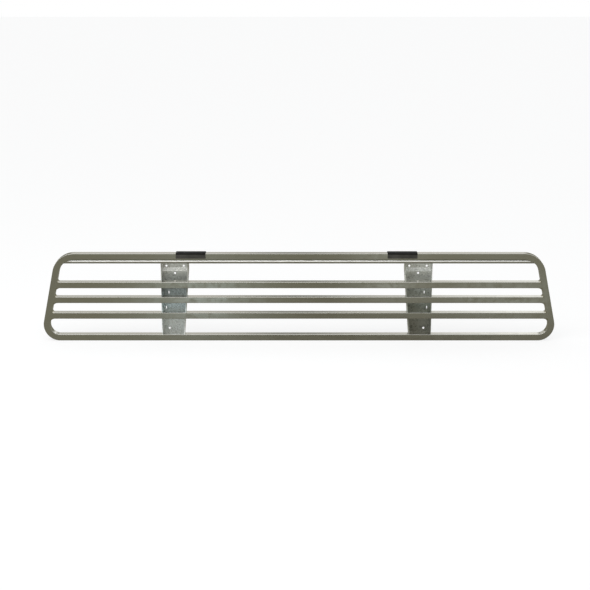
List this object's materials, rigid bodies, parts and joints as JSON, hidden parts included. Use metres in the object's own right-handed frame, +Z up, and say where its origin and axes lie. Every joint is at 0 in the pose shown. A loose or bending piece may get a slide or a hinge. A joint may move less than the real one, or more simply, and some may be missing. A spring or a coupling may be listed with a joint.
{
  "type": "headache rack",
  "caption": "Low trapezoid cab guard of rectangular tube with level crossbars, a round stiffener and stepped rear mounting brackets.",
  "frame": {"origin": "centre of the rack's footprint, on the plane of the bottom rail's underside", "axes": "+X along the rails to the rack's right as its polished face is seen, +Y towards the brackets and the vehicle, +Z up"},
  "size_m": [1.5754, 0.0826, 0.2772],
  "materials": {
    "polished_steel": "polished",
    "dressed_weld": "dressed flush and polished",
    "rod_steel": "polished",
    "plain_steel": "plain stainless",
    "zinc_plate": "bright zinc plate",
    "pad_rubber": "matte"
  },
  "bodies": {
    "root": {"top_rail": "polished_steel", "bottom_rail": "polished_steel", "left_end_bow": "polished_steel", "right_end_bow": "polished_steel", "upper_crossbar": "polished_steel", "middle_crossbar": "polished_steel", "lower_crossbar": "polished_steel", "left_weld_fillets": "dressed_weld", "right_weld_fillets": "dressed_weld", "joint_sleeves": "plain_steel", "stiffener_rod": "rod_steel", "left_bracket": "zinc_plate", "right_bracket": "zinc_plate", "left_bracket_screws": "plain_steel", "right_bracket_screws": "plain_steel", "left_bracket_washers": "zinc_plate", "right_bracket_washers": "zinc_plate", "left_rivet_nuts": "zinc_plate", "right_rivet_nuts": "zinc_plate", "left_load_pad": "pad_rubber", "right_load_pad": "pad_rubber"}
  },
  "joints": []
}
